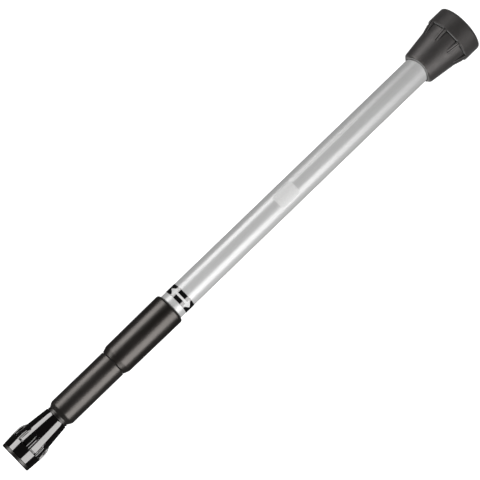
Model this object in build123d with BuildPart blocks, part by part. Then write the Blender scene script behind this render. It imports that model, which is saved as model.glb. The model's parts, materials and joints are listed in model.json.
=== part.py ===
from build123d import *

import os

# A twist-lock telescoping magnetic pickup tool, closed to its shortest length.
# The tool lies along X. The origin is the centre of the magnet's pick-up face, +X points
# out of that face, and the handle and its end knob lie towards -X. Sizes are in millimetres,
# and every _X value is a station along the tool.

# Tubes: 3/4 in outer tube, 5/8 in inner tube
OUTER_R = 19.05 / 2
OUTER_BORE_R = OUTER_R - 1.245
INNER_R = 15.875 / 2
INNER_BORE_R = INNER_R - 1.0
TUBE_FRONT_X = -12.7
TUBE_BACK_X = -327.7
INNER_FRONT_X = -75.0
INNER_BACK_X = -400.0

# Telescope and twist lock
TRAVEL = 220.0  # how far the handle pulls out
LOCK_TURN = 180.0  # degrees from free to locked
LOCK_LEAD = 2.0  # how far one turn moves the cone along its stud
SLIDE_FIT = 0.08  # radial play of what slides or turns in a bore

# Magnet head, from the pick-up face back
CUP_R = 31.75 / 2
CUP_WALL = 1.8
CUP_BACK_X = -8.5
MAGNET_R = 13.0
MAGNET_BACK_X = -6.0
SPACER_RECESS = 0.4
FLANGE_FRONT_X = -9.0
HEAD_WASHER_R = 6.5
RIVET_R = 2.0
HEAD_STUD_R = 3.0
HEAD_STUD_END_X = -24.0
STUD_HOLE_DEPTH_SPARE = 1.5
CARRIER_END_X = -34.0
CARRIER_RELIEF_R = 5.0
CARRIER_RELIEF_DEPTH = 2.0
LEAD_IN = 0.6  # chamfer on every plug end

# Roll pins across the tubes
PIN_R = 1.5
PIN_BORE_R = 0.9
PIN_SLOT = 0.6
PIN_PLAY = 0.05
PIN_BELOW_SURFACE = 0.3
CARRIER_PIN_X = -30.0
PLUG_PIN_X = -81.0

# Rubber boot
BOOT_FRONT_X = -0.5
BOOT_RIM_R = 18.0
BOOT_RIM_ROUND = 1.7
SHOULDER_X = -13.7
BOOT_SHOULDER_R = 16.25
BOOT_RIBS = 8
BOOT_RIB_WIDTH = 2.6
BOOT_RIB_FLAT = 1.0
BOOT_RIB_MIDDLE = (-18.8, 16.7)
BOOT_RIB_START = (-23.7, 15.2)
BOOT_RIB_SLOT = (0.7, 0.45)  # width, depth
BOOT_GROOVE = (0.9, 0.6)  # width, depth, at the foot of the shoulder
BOOT_RIB_ROOT_R = 13.5
BOOT_MOUTH_X = -43.5
MOUTH_LIP_R = 10.5
MOUTH_EDGE_X = -41.55
MOUTH_EDGE_R = 12.6
SCALLOP_X = -41.1  # deepest point of the scallops
SCALLOP_R = 24.0

# Printed band and grips
BAND_FRONT_X = -263.5
BAND_WIDTH = 7.5
BAND_THICK = 0.15
UPPER_GRIP_FRONT_X = -275.9
UPPER_GRIP_BACK_X = -328.5
UPPER_GRIP_FRONT_R = 11.64
UPPER_GRIP_BACK_R = 11.28
UPPER_GRIP_END_R = 9.85
UPPER_GRIP_TAPER = 4.0
UPPER_GRIP_FRONT_ROUND = 1.9
LOWER_GRIP_FRONT_X = -328.9
LOWER_GRIP_BACK_X = -378.1
LOWER_GRIP_R = 9.93
LOWER_GRIP_END_R = 8.25
LOWER_GRIP_TAPER = 3.0
LOWER_GRIP_FRONT_ROUND = 0.4
TAPER_ROUND = 3.0

# Guides between the tubes
BUSHING_LENGTH = 12.0
GUIDE_RING_LENGTH = 6.0
GUIDE_RING_SPLIT = 1.0
GUIDE_GROOVE = 0.4
STOP_GAP = 0.3
GUIDE_RING_BACK_X = TUBE_BACK_X + BUSHING_LENGTH + TRAVEL + STOP_GAP

# Lock stud and what it carries, from the inner tube's end forwards
PLUG_END_X = -95.0
PLUG_FLANGE_X = -73.0
LOCK_STUD_R = 3.0
STUD_END_X = -46.0
CONE_BACK_X = -67.0
CONE_LENGTH = 10.0
CONE_BACK_R = 6.6
CONE_FRONT_R = 4.6
CONE_GAP = 0.3
KEYS = 4
KEY_WIDTH = 1.2
KEY_LENGTH = 6.0
KEY_INSET = 0.4
SLOT_WIDTH = 1.7
SLOT_WALL = 5.0
SLEEVE_R = OUTER_BORE_R - SLIDE_FIT
SLEEVE_FRONT_X = -50.0
SLEEVE_BACK_X = -69.5
SLEEVE_HUB = 4.0
THRUST_GAP = 0.2
LOCK_WASHER_R = 6.5
LOCK_WASHER_THICK = 0.8
STUD_SCREW_R = 1.5
STUD_SCREW_LENGTH = 9.0
STUD_SCREW_HEAD = (2.75, 3.0)  # radius, height
STUD_SCREW_SOCKET = (2.5, 1.3)  # across flats, depth

# Knob
COLLAR_R = 8.45
COLLAR_SLEEVE_R = 8.15
COLLAR_BEAD_INSET = 0.3  # from each end of the collar to its bead
COLLAR_ROUND = 0.25
KNOB_FRONT_X = -380.3
KNOB_NECK_R = 8.6
KNOB_WAIST_X = -399.8
KNOB_WAIST_R = 10.65
KNOB_SHOULDER_X = -407.25
KNOB_PANEL_R = 11.38
KNOB_RIM_R = 12.22
KNOB_RIM_ROUND = 0.4
KNOB_BACK_X = -417.9
KNOB_END_R = 11.68
KNOB_BEZEL = 2.4
KNOB_WELL_R = 9.9
KNOB_WEB_FRONT_X = -404.0
KNOB_WEB_BACK_X = -407.0
KNOB_RIBS = 8
KNOB_RIB_WIDTH = 2.6
KNOB_RIB_ANGLE = 93.5  # of the first rib, from +Y towards +Z
KNOB_GROOVE = (1.0, 0.6)  # width, depth, at the foot of the shoulder
KNOB_RIB_CREST_R = 12.3
KNOB_RIB_CREST_X = -403.2
KNOB_RIB_MIDDLE = (-399.6, 11.75)
KNOB_RIB_START = (-396.8, 10.3)
KNOB_RIB_ROOT_R = 9.8
KNOB_PLUG_LENGTH = 16.0
KNOB_SCREW_R = 2.5
KNOB_SCREW_REACH = 13.0
KNOB_SCREW_HEAD = (4.25, 4.0)  # radius, height
KNOB_SCREW_SOCKET = (4.0, 2.2)  # across flats, depth
KNOB_WASHER_R = 5.5
KNOB_WASHER_THICK = 1.0
SCREW_PLAY = 0.2
CAP_SPIGOT_R = 9.8
CAP_SPIGOT_BORE_R = 8.3
CAP_SPIGOT_LENGTH = 2.2
CAP_DISH_R = 9.5
CAP_DISH_DEPTH = 0.8
CAP_ROUND = 0.8

os.makedirs("parts", exist_ok=True)


def turn(points, mode=Mode.ADD):
    """Revolve a closed outline of (x, radius) points about the tool's axis."""
    with BuildSketch() as outline:
        with BuildLine():
            Polyline(*points, close=True)
        make_face()
    revolve(outline.sketch, axis=Axis.X, mode=mode)


def ring(x_back, x_front, outer, inner=0.0, mode=Mode.ADD):
    """A turned ring, or a disc, between two stations."""
    turn([(x_back, inner), (x_front, inner), (x_front, outer), (x_back, outer)], mode)


def cross_hole(x):
    """A hole for a roll pin, right through the tool along Z."""
    with Locations((x, 0, 0)):
        Cylinder(PIN_R + PIN_PLAY, 4 * OUTER_R, mode=Mode.SUBTRACT)


def hex_socket(x_head, socket, towards):
    """A hexagon socket sunk into a screw head, towards +X or -X."""
    across_flats, depth = socket
    with BuildSketch(Plane.YZ.offset(x_head)) as hexagon:
        RegularPolygon(across_flats / 2, 6, major_radius=False)
    extrude(hexagon.sketch, amount=towards * depth, mode=Mode.SUBTRACT)


def radial_plates(profile, count, width, first_angle=0.0, mode=Mode.ADD):
    """Flat plates of one (x, radius) profile, spread evenly round the tool's axis."""
    for number in range(count):
        angle = first_angle + number * 360 / count
        with BuildSketch(Plane.XY.rotated((angle, 0, 0))) as plate:
            add(profile)
        extrude(plate.sketch, amount=width / 2, both=True, mode=mode)


def rectangle(x_back, x_front, inner, outer):
    """The profile of a radial plate between two stations and two radii."""
    with BuildSketch() as profile:
        with Locations(((x_back + x_front) / 2, (inner + outer) / 2)):
            Rectangle(x_front - x_back, outer - inner)
    return profile.sketch


def ramp(crest_start, crest_end, middle, foot, root_r):
    """The profile of a rib with a flat crest that falls in an arc to its foot."""
    with BuildSketch() as profile:
        with BuildLine():
            Line(crest_start, crest_end)
            ThreePointArc(crest_end, middle, foot)
            Polyline(foot, (foot[0], root_r), (crest_start[0], root_r), crest_start)
        make_face()
    return profile.sketch


def rim_edge(piece, x, radius):
    """The circular edge of a turned piece nearest to a station and a radius."""
    circles = piece.edges().filter_by(GeomType.CIRCLE)
    return circles.sort_by(lambda e: abs(e.arc_center.X - x) + abs(e.radius - radius))[0]


def save(piece, name):
    """Label one finished piece and write it."""
    piece.label = name
    export_step(piece, f"parts/{name}.step")


# ---------------------------------------------------------------- magnet head

with BuildPart() as magnet_disc:
    ring(MAGNET_BACK_X, 0, MAGNET_R)
    chamfer(rim_edge(magnet_disc, 0, MAGNET_R), 0.4)
save(magnet_disc.part, "magnet_disc")

with BuildPart() as magnet_cup:
    ring(CUP_BACK_X, 0, CUP_R)
    ring(MAGNET_BACK_X, 0, CUP_R - CUP_WALL, mode=Mode.SUBTRACT)
    ring(CUP_BACK_X, MAGNET_BACK_X, RIVET_R, mode=Mode.SUBTRACT)
    chamfer(rim_edge(magnet_cup, 0, CUP_R), 0.3)
    fillet(rim_edge(magnet_cup, CUP_BACK_X, CUP_R), 1.2)
save(magnet_cup.part, "magnet_cup")

with BuildPart() as spacer_ring:
    ring(MAGNET_BACK_X, -SPACER_RECESS, CUP_R - CUP_WALL, MAGNET_R)
save(spacer_ring.part, "spacer_ring")

with BuildPart() as head_stud:
    ring(CUP_BACK_X, MAGNET_BACK_X, RIVET_R)
    ring(HEAD_STUD_END_X, CUP_BACK_X, HEAD_STUD_R)
    chamfer(rim_edge(head_stud, HEAD_STUD_END_X, HEAD_STUD_R), LEAD_IN)
save(head_stud.part, "head_stud")

with BuildPart() as head_washer:
    ring(FLANGE_FRONT_X, CUP_BACK_X, HEAD_WASHER_R, HEAD_STUD_R + SCREW_PLAY)
save(head_washer.part, "head_washer")

with BuildPart() as magnet_carrier:
    stud_hole_end = HEAD_STUD_END_X - STUD_HOLE_DEPTH_SPARE
    relief_end = CARRIER_END_X + CARRIER_RELIEF_DEPTH
    ring(TUBE_FRONT_X, FLANGE_FRONT_X, CUP_R)
    ring(CARRIER_END_X, TUBE_FRONT_X, OUTER_BORE_R)
    ring(stud_hole_end, FLANGE_FRONT_X, HEAD_STUD_R, mode=Mode.SUBTRACT)
    ring(CARRIER_END_X, relief_end, CARRIER_RELIEF_R, mode=Mode.SUBTRACT)
    cross_hole(CARRIER_PIN_X)
    chamfer(rim_edge(magnet_carrier, CARRIER_END_X, OUTER_BORE_R), LEAD_IN)
    chamfer(rim_edge(magnet_carrier, FLANGE_FRONT_X, CUP_R), 0.4)
save(magnet_carrier.part, "magnet_carrier")

# The boot grips the tube behind its shoulder and wraps the flange and the cup in front of it.
# Its mouth is scalloped above and below, so that two ears are left at the sides.
with BuildPart() as rubber_boot:
    groove_width, groove_depth = BOOT_GROOVE
    groove_x = SHOULDER_X - groove_width
    cone_slope = (BOOT_SHOULDER_R - MOUTH_EDGE_R) / (SHOULDER_X - MOUTH_EDGE_X)
    groove_r = BOOT_SHOULDER_R - groove_width * cone_slope
    turn(
        [
            (BOOT_MOUTH_X, OUTER_R),
            (BOOT_MOUTH_X, MOUTH_LIP_R),
            (MOUTH_EDGE_X, MOUTH_EDGE_R),
            (groove_x, groove_r),
            (groove_x, groove_r - groove_depth),
            (SHOULDER_X, groove_r - groove_depth),
            (SHOULDER_X, BOOT_RIM_R),
            (BOOT_FRONT_X, BOOT_RIM_R),
            (BOOT_FRONT_X, CUP_R),
            (TUBE_FRONT_X, CUP_R),
            (TUBE_FRONT_X, OUTER_R),
        ]
    )
    fillet(rim_edge(rubber_boot, BOOT_FRONT_X, BOOT_RIM_R), BOOT_RIM_ROUND)
    boot_rib = ramp(
        (SHOULDER_X, BOOT_RIM_R),
        (SHOULDER_X - BOOT_RIB_FLAT, BOOT_RIM_R),
        BOOT_RIB_MIDDLE,
        BOOT_RIB_START,
        BOOT_RIB_ROOT_R,
    )
    radial_plates(boot_rib, BOOT_RIBS, BOOT_RIB_WIDTH, first_angle=180 / BOOT_RIBS)
    slot_width, slot_depth = BOOT_RIB_SLOT
    with BuildSketch() as slot_profile:
        add(rectangle(BOOT_RIB_START[0], SHOULDER_X, BOOT_RIB_ROOT_R, BOOT_RIM_R + 1))
        add(Pos(0, -slot_depth) * boot_rib, mode=Mode.SUBTRACT)
        add(rectangle(BOOT_RIB_START[0], SHOULDER_X, BOOT_RIB_ROOT_R - 1, BOOT_RIB_ROOT_R + 0.5), mode=Mode.SUBTRACT)
    radial_plates(slot_profile.sketch, BOOT_RIBS, slot_width, 180 / BOOT_RIBS, Mode.SUBTRACT)
    with Locations((SCALLOP_X - SCALLOP_R, 0, 0)):
        Cylinder(SCALLOP_R, 4 * BOOT_RIM_R, mode=Mode.SUBTRACT)
save(rubber_boot.part, "rubber_boot")

# ---------------------------------------------------------------- outer tube

with BuildPart() as outer_tube:
    ring(TUBE_BACK_X, TUBE_FRONT_X, OUTER_R, OUTER_BORE_R)
    cross_hole(CARRIER_PIN_X)
save(outer_tube.part, "outer_tube")

with BuildPart() as arrow_band:
    ring(BAND_FRONT_X - BAND_WIDTH, BAND_FRONT_X, OUTER_R + BAND_THICK, OUTER_R)
save(arrow_band.part, "arrow_band")

with BuildPart() as upper_grip:
    taper_x = UPPER_GRIP_BACK_X + UPPER_GRIP_TAPER
    turn(
        [
            (UPPER_GRIP_BACK_X, OUTER_R),
            (UPPER_GRIP_BACK_X, UPPER_GRIP_END_R),
            (taper_x, UPPER_GRIP_BACK_R),
            (UPPER_GRIP_FRONT_X, UPPER_GRIP_FRONT_R),
            (UPPER_GRIP_FRONT_X, OUTER_R),
        ]
    )
    fillet(rim_edge(upper_grip, UPPER_GRIP_FRONT_X, UPPER_GRIP_FRONT_R), UPPER_GRIP_FRONT_ROUND)
    fillet(rim_edge(upper_grip, taper_x, UPPER_GRIP_BACK_R), TAPER_ROUND)
save(upper_grip.part, "upper_grip")

with BuildPart() as guide_bushing:
    bushing_front = TUBE_BACK_X + BUSHING_LENGTH
    ring(TUBE_BACK_X, bushing_front, OUTER_BORE_R, INNER_R + SLIDE_FIT)
    ring(UPPER_GRIP_BACK_X, TUBE_BACK_X, OUTER_R, INNER_R + SLIDE_FIT)
    chamfer(rim_edge(guide_bushing, bushing_front, OUTER_BORE_R), 0.1)
save(guide_bushing.part, "guide_bushing")


def roll_pin(x, tube_r):
    """A slotted spring pin across a tube, a little short of its surface."""
    length = 2 * (tube_r - PIN_BELOW_SURFACE)
    with BuildPart() as pin:
        with Locations((x, 0, 0)):
            Cylinder(PIN_R, length)
            Cylinder(PIN_BORE_R, length, mode=Mode.SUBTRACT)
        with Locations((x - PIN_R, 0, 0)):
            Box(2 * PIN_R, PIN_SLOT, length, mode=Mode.SUBTRACT)
    return pin.part


save(roll_pin(CARRIER_PIN_X, OUTER_R), "carrier_pin")
save(roll_pin(PLUG_PIN_X, INNER_R), "plug_pin")

# ---------------------------------------------------------------- inner tube

with BuildPart() as inner_tube:
    guide_ring_front = GUIDE_RING_BACK_X + GUIDE_RING_LENGTH
    groove_r = INNER_R - GUIDE_GROOVE
    ring(INNER_BACK_X, INNER_FRONT_X, INNER_R, INNER_BORE_R)
    ring(GUIDE_RING_BACK_X, guide_ring_front, OUTER_R, groove_r, mode=Mode.SUBTRACT)
    cross_hole(PLUG_PIN_X)
save(inner_tube.part, "inner_tube")

with BuildPart() as guide_ring:
    ring(GUIDE_RING_BACK_X, guide_ring_front, SLEEVE_R, groove_r)
    with Locations((GUIDE_RING_BACK_X + GUIDE_RING_LENGTH / 2, OUTER_R, 0)):
        Box(2 * GUIDE_RING_LENGTH, 2 * OUTER_R, GUIDE_RING_SPLIT, mode=Mode.SUBTRACT)
save(guide_ring.part, "guide_ring")

# ---------------------------------------------------------------- expanding lock

with BuildPart() as lock_stud:
    screw_hole_end = STUD_END_X - STUD_SCREW_LENGTH - STUD_HOLE_DEPTH_SPARE
    ring(PLUG_END_X, INNER_FRONT_X, INNER_BORE_R)
    ring(INNER_FRONT_X, PLUG_FLANGE_X, INNER_R)
    ring(PLUG_FLANGE_X, STUD_END_X, LOCK_STUD_R)
    ring(screw_hole_end, STUD_END_X, STUD_SCREW_R, mode=Mode.SUBTRACT)
    cross_hole(PLUG_PIN_X)
    chamfer(rim_edge(lock_stud, PLUG_END_X, INNER_BORE_R), LEAD_IN)
save(lock_stud.part, "lock_stud")

# The cone is drawn free. Turning the stud draws it forwards, into the sleeve, and its keys
# ride in the sleeve's slots so that it doesn't turn.
with BuildPart() as lock_cone:
    cone_front = CONE_BACK_X + CONE_LENGTH
    cone_bore_r = LOCK_STUD_R + SLIDE_FIT
    turn(
        [
            (CONE_BACK_X, cone_bore_r),
            (CONE_BACK_X, CONE_BACK_R),
            (cone_front, CONE_FRONT_R),
            (cone_front, cone_bore_r),
        ]
    )
    key_root_r = (cone_bore_r + CONE_FRONT_R) / 2
    key = rectangle(CONE_BACK_X, CONE_BACK_X + KEY_LENGTH, key_root_r, SLEEVE_R - KEY_INSET)
    radial_plates(key, KEYS, KEY_WIDTH)
save(lock_cone.part, "lock_cone")

# The sleeve's fingers point back. Its inner taper is the cone's, moved forwards by the cone's
# travel and opened by the gap, so the locked cone still clears it.
with BuildPart() as lock_sleeve:
    cone_slope = (CONE_BACK_R - CONE_FRONT_R) / CONE_LENGTH
    cone_travel = LOCK_LEAD * LOCK_TURN / 360
    clearance = cone_travel * cone_slope + CONE_GAP
    hub_back = SLEEVE_FRONT_X - SLEEVE_HUB
    hub_taper_r = CONE_FRONT_R - (hub_back - cone_front) * cone_slope + clearance
    mouth_taper_r = CONE_BACK_R + (CONE_BACK_X - SLEEVE_BACK_X) * cone_slope + clearance
    turn(
        [
            (SLEEVE_BACK_X, mouth_taper_r),
            (SLEEVE_BACK_X, SLEEVE_R),
            (SLEEVE_FRONT_X, SLEEVE_R),
            (SLEEVE_FRONT_X, cone_bore_r),
            (hub_back, cone_bore_r),
            (hub_back, hub_taper_r),
        ]
    )
    slot = rectangle(SLEEVE_BACK_X - 1, SLEEVE_FRONT_X - SLOT_WALL, cone_bore_r, OUTER_R)
    radial_plates(slot, KEYS, SLOT_WIDTH, mode=Mode.SUBTRACT)
save(lock_sleeve.part, "lock_sleeve")

with BuildPart() as thrust_washer:
    thrust_back = SLEEVE_FRONT_X + THRUST_GAP
    ring(thrust_back, thrust_back + LOCK_WASHER_THICK, LOCK_WASHER_R, LOCK_STUD_R)
save(thrust_washer.part, "thrust_washer")

with BuildPart() as stud_washer:
    stud_head_x = STUD_END_X + LOCK_WASHER_THICK
    ring(STUD_END_X, stud_head_x, LOCK_WASHER_R, STUD_SCREW_R + SCREW_PLAY)
save(stud_washer.part, "stud_washer")

with BuildPart() as stud_screw:
    head_r, head_height = STUD_SCREW_HEAD
    head_top = stud_head_x + head_height
    ring(STUD_END_X - STUD_SCREW_LENGTH, stud_head_x, STUD_SCREW_R)
    ring(stud_head_x, head_top, head_r)
    fillet(rim_edge(stud_screw, head_top, head_r), 0.3)
    hex_socket(head_top, STUD_SCREW_SOCKET, -1)
save(stud_screw.part, "stud_screw")

# ---------------------------------------------------------------- lower grip and knob

with BuildPart() as lower_grip:
    taper_x = LOWER_GRIP_BACK_X + LOWER_GRIP_TAPER
    turn(
        [
            (LOWER_GRIP_BACK_X, INNER_R),
            (LOWER_GRIP_BACK_X, LOWER_GRIP_END_R),
            (taper_x, LOWER_GRIP_R),
            (LOWER_GRIP_FRONT_X, LOWER_GRIP_R),
            (LOWER_GRIP_FRONT_X, INNER_R),
        ]
    )
    fillet(rim_edge(lower_grip, LOWER_GRIP_FRONT_X, LOWER_GRIP_R), LOWER_GRIP_FRONT_ROUND)
    fillet(rim_edge(lower_grip, taper_x, LOWER_GRIP_R), TAPER_ROUND)
save(lower_grip.part, "lower_grip")

# The collar is a thin sleeve between the grip and the knob, with a bead round its middle
with BuildPart() as collar_ring:
    bead_back = KNOB_FRONT_X + COLLAR_BEAD_INSET
    bead_front = LOWER_GRIP_BACK_X - COLLAR_BEAD_INSET
    ring(KNOB_FRONT_X, LOWER_GRIP_BACK_X, COLLAR_SLEEVE_R, INNER_R)
    ring(bead_back, bead_front, COLLAR_R, INNER_R)
    fillet(rim_edge(collar_ring, bead_front, COLLAR_R), COLLAR_ROUND)
    fillet(rim_edge(collar_ring, bead_back, COLLAR_R), COLLAR_ROUND)
save(collar_ring.part, "collar_ring")

# The knob is bored from the front for the inner tube, and from the back for its screw. The
# cap closes that well and makes the flat end.
with BuildPart() as knob_body:
    cap_front = KNOB_BACK_X + KNOB_BEZEL
    rim_slope = (KNOB_RIM_R - KNOB_END_R) / (KNOB_SHOULDER_X - KNOB_BACK_X)
    groove_width, groove_depth = KNOB_GROOVE
    groove_x = KNOB_SHOULDER_X + groove_width
    panel_slope = (KNOB_PANEL_R - KNOB_WAIST_R) / (KNOB_WAIST_X - KNOB_SHOULDER_X)
    groove_r = KNOB_PANEL_R - groove_width * panel_slope
    turn(
        [
            (KNOB_FRONT_X, INNER_R),
            (KNOB_FRONT_X, KNOB_NECK_R),
            (KNOB_WAIST_X, KNOB_WAIST_R),
            (groove_x, groove_r),
            (groove_x, groove_r - groove_depth),
            (KNOB_SHOULDER_X, groove_r - groove_depth),
            (KNOB_SHOULDER_X, KNOB_RIM_R),
            (cap_front, KNOB_END_R + rim_slope * KNOB_BEZEL),
            (cap_front, KNOB_WELL_R),
            (KNOB_WEB_BACK_X, KNOB_WELL_R),
            (KNOB_WEB_BACK_X, KNOB_SCREW_R + SCREW_PLAY),
            (KNOB_WEB_FRONT_X, KNOB_SCREW_R + SCREW_PLAY),
            (KNOB_WEB_FRONT_X, INNER_R),
        ]
    )
    fillet(rim_edge(knob_body, KNOB_SHOULDER_X, KNOB_RIM_R), KNOB_RIM_ROUND)
    knob_rib = ramp(
        (KNOB_SHOULDER_X - KNOB_RIM_ROUND, KNOB_RIB_CREST_R),
        (KNOB_RIB_CREST_X, KNOB_RIB_CREST_R),
        KNOB_RIB_MIDDLE,
        KNOB_RIB_START,
        KNOB_RIB_ROOT_R,
    )
    radial_plates(knob_rib, KNOB_RIBS, KNOB_RIB_WIDTH, KNOB_RIB_ANGLE)
save(knob_body.part, "knob_body")

with BuildPart() as knob_plug:
    plug_front = INNER_BACK_X + KNOB_PLUG_LENGTH
    ring(INNER_BACK_X, plug_front, INNER_BORE_R)
    ring(KNOB_WEB_FRONT_X, INNER_BACK_X, INNER_R)
    ring(KNOB_WEB_FRONT_X, INNER_BACK_X + KNOB_SCREW_REACH, KNOB_SCREW_R, mode=Mode.SUBTRACT)
    chamfer(rim_edge(knob_plug, plug_front, INNER_BORE_R), LEAD_IN)
save(knob_plug.part, "knob_plug")

with BuildPart() as knob_washer:
    washer_back = KNOB_WEB_BACK_X - KNOB_WASHER_THICK
    ring(washer_back, KNOB_WEB_BACK_X, KNOB_WASHER_R, KNOB_SCREW_R + SCREW_PLAY)
save(knob_washer.part, "knob_washer")

with BuildPart() as knob_screw:
    head_r, head_height = KNOB_SCREW_HEAD
    head_top = washer_back - head_height
    ring(washer_back, KNOB_WEB_FRONT_X + KNOB_SCREW_REACH, KNOB_SCREW_R)
    ring(head_top, washer_back, head_r)
    fillet(rim_edge(knob_screw, head_top, head_r), 0.4)
    hex_socket(head_top, KNOB_SCREW_SOCKET, 1)
save(knob_screw.part, "knob_screw")

with BuildPart() as knob_cap:
    ring(KNOB_BACK_X, cap_front, KNOB_END_R)
    ring(cap_front, cap_front + CAP_SPIGOT_LENGTH, CAP_SPIGOT_R, CAP_SPIGOT_BORE_R)
    ring(KNOB_BACK_X, KNOB_BACK_X + CAP_DISH_DEPTH, CAP_DISH_R, mode=Mode.SUBTRACT)
    fillet(rim_edge(knob_cap, KNOB_BACK_X, KNOB_END_R), CAP_ROUND)
save(knob_cap.part, "knob_cap")
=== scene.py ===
"""The looks of a twist-lock telescoping magnetic pickup tool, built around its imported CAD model.

The tool lies along X with the magnet's face at the origin and the knob towards -X. Pieces are
measured in millimetres along the axis (x) and out from it (r), and are turned into metres when
their mesh is made. Angles round the tool start at +Y and pass through +Z, which faces the camera.
"""

import json
import math

import bpy
import bmesh
from mathutils import Matrix, Vector


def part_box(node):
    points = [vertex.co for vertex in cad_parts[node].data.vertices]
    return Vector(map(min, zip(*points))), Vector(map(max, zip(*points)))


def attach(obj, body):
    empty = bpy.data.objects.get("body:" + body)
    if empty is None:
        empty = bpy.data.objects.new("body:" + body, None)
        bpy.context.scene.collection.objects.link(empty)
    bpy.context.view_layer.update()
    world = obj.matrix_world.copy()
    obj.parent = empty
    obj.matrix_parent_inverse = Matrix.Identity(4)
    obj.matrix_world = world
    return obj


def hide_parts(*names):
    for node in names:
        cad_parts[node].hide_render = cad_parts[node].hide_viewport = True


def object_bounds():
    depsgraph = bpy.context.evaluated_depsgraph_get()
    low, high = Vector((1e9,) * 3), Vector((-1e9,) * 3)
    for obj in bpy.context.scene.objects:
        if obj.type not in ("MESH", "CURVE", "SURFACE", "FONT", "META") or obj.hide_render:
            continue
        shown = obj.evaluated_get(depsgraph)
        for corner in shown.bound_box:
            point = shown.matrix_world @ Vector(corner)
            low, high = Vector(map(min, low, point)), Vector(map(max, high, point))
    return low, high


MM = 0.001
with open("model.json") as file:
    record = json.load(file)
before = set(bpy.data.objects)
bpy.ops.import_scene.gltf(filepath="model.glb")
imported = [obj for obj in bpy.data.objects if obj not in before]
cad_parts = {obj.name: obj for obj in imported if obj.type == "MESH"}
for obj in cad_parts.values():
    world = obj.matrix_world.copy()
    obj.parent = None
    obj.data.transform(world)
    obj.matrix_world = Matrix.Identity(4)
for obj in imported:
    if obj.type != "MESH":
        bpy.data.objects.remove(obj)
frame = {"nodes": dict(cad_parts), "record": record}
cad_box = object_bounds()


def stations(node):
    """A node's rearmost and foremost station and its radius, in millimetres."""
    low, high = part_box(node)
    return low.x / MM, high.x / MM, high.y / MM


# ------------------------------------------------------------------ mesh helpers

SMOOTH_ANGLE = math.radians(38)
ROUND_STEPS = 6
SUPPORT = 0.12  # how close the extra rings stand to the ends of a straight run
SEGMENTS = 160
FINE_SEGMENTS = 192


def rounded(corners, closed=True):
    """Outline points from (x, r) corners. A corner's third value is the radius of its arc."""
    points = []
    for number, corner in enumerate(corners):
        here = Vector(corner[:2])
        if len(corner) == 2:
            points.append(here)
            continue
        back = (Vector(corners[number - 1][:2]) - here).normalized()
        ahead = (Vector(corners[(number + 1) % len(corners)][:2]) - here).normalized()
        half_angle = back.angle(ahead) / 2
        centre = here + (back + ahead).normalized() * corner[2] / math.sin(half_angle)
        reach = corner[2] / math.tan(half_angle)
        start = here + back * reach - centre
        end = here + ahead * reach - centre
        sweep = math.pi - 2 * half_angle
        if start.x * end.y < start.y * end.x:
            sweep = -sweep
        for step in range(ROUND_STEPS + 1):
            points.append(centre + Matrix.Rotation(sweep * step / ROUND_STEPS, 2) @ start)
    return supported(points, closed)


def supported(points, closed=True):
    """Adds a point close to both ends of each straight run, so that its shading stays flat."""
    result = []
    last = len(points) if closed else len(points) - 1
    for number in range(last):
        here, ahead = points[number], points[(number + 1) % len(points)]
        result.append(here)
        run = ahead - here
        if run.length > 4 * SUPPORT:
            result.append(here + run.normalized() * SUPPORT)
            result.append(ahead - run.normalized() * SUPPORT)
    if not closed:
        result.append(points[-1])
    return result


def skin(name, rings, closed=True):
    """A mesh through rings of points in millimetres. A ring of one point closes an end."""
    verts, starts = [], []
    for ring in rings:
        starts.append(len(verts))
        verts.extend(Vector(point) * MM for point in ring)
    faces = []
    pairs = list(zip(range(len(rings)), range(1, len(rings))))
    if closed:
        pairs.append((len(rings) - 1, 0))
    for first, second in pairs:
        a, b = starts[first], starts[second]
        size_a, size_b = len(rings[first]), len(rings[second])
        for column in range(max(size_a, size_b)):
            after = (column + 1) % max(size_a, size_b)
            if size_a == 1:
                faces.append((a, b + after, b + column))
            elif size_b == 1:
                faces.append((a + column, a + after, b))
            else:
                faces.append((a + column, a + after, b + after, b + column))
    mesh = bpy.data.meshes.new(name)
    mesh.from_pydata(verts, [], faces)
    soften(mesh)
    piece = bpy.data.objects.new(name, mesh)
    bpy.context.scene.collection.objects.link(piece)
    return piece


def soften(mesh):
    """Turns the faces outwards and shades them smooth, apart from the sharp edges."""
    shape = bmesh.new()
    shape.from_mesh(mesh)
    bmesh.ops.remove_doubles(shape, verts=shape.verts, dist=1e-8)
    bmesh.ops.dissolve_degenerate(shape, edges=shape.edges, dist=1e-8)
    bmesh.ops.recalc_face_normals(shape, faces=shape.faces)
    shape.to_mesh(mesh)
    shape.free()
    mesh.shade_smooth()
    mesh.set_sharp_from_angle(angle=SMOOTH_ANGLE)


def circle(x, r, segments):
    """One ring of points round the axis."""
    if r <= 0:
        return [(x, 0, 0)]
    ring = []
    for column in range(segments):
        angle = 2 * math.pi * column / segments
        ring.append((x, r * math.cos(angle), r * math.sin(angle)))
    return ring


def lathe(name, outline, segments=SEGMENTS, closed=True):
    """A turned piece from its (x, r) outline."""
    return skin(name, [circle(x, r, segments) for x, r in outline], closed)


def patch(name, stretches, r, thick):
    """A thin print on a cylinder, closed all round, from (angle, low x, high x) stretches."""
    rings = []
    for angle, low, high in stretches:
        ring = []
        for x, radius in ((low, r), (high, r), (high, r + thick), (low, r + thick)):
            ring.append((x, radius * math.cos(angle), radius * math.sin(angle)))
        rings.append(ring)
    piece = skin(name, rings, closed=False)
    shape = bmesh.new()
    shape.from_mesh(piece.data)
    bmesh.ops.holes_fill(shape, edges=[e for e in shape.edges if e.is_boundary])
    bmesh.ops.recalc_face_normals(shape, faces=shape.faces)
    shape.to_mesh(piece.data)
    shape.free()
    return piece


# ------------------------------------------------------------------ ribbed skins


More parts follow.
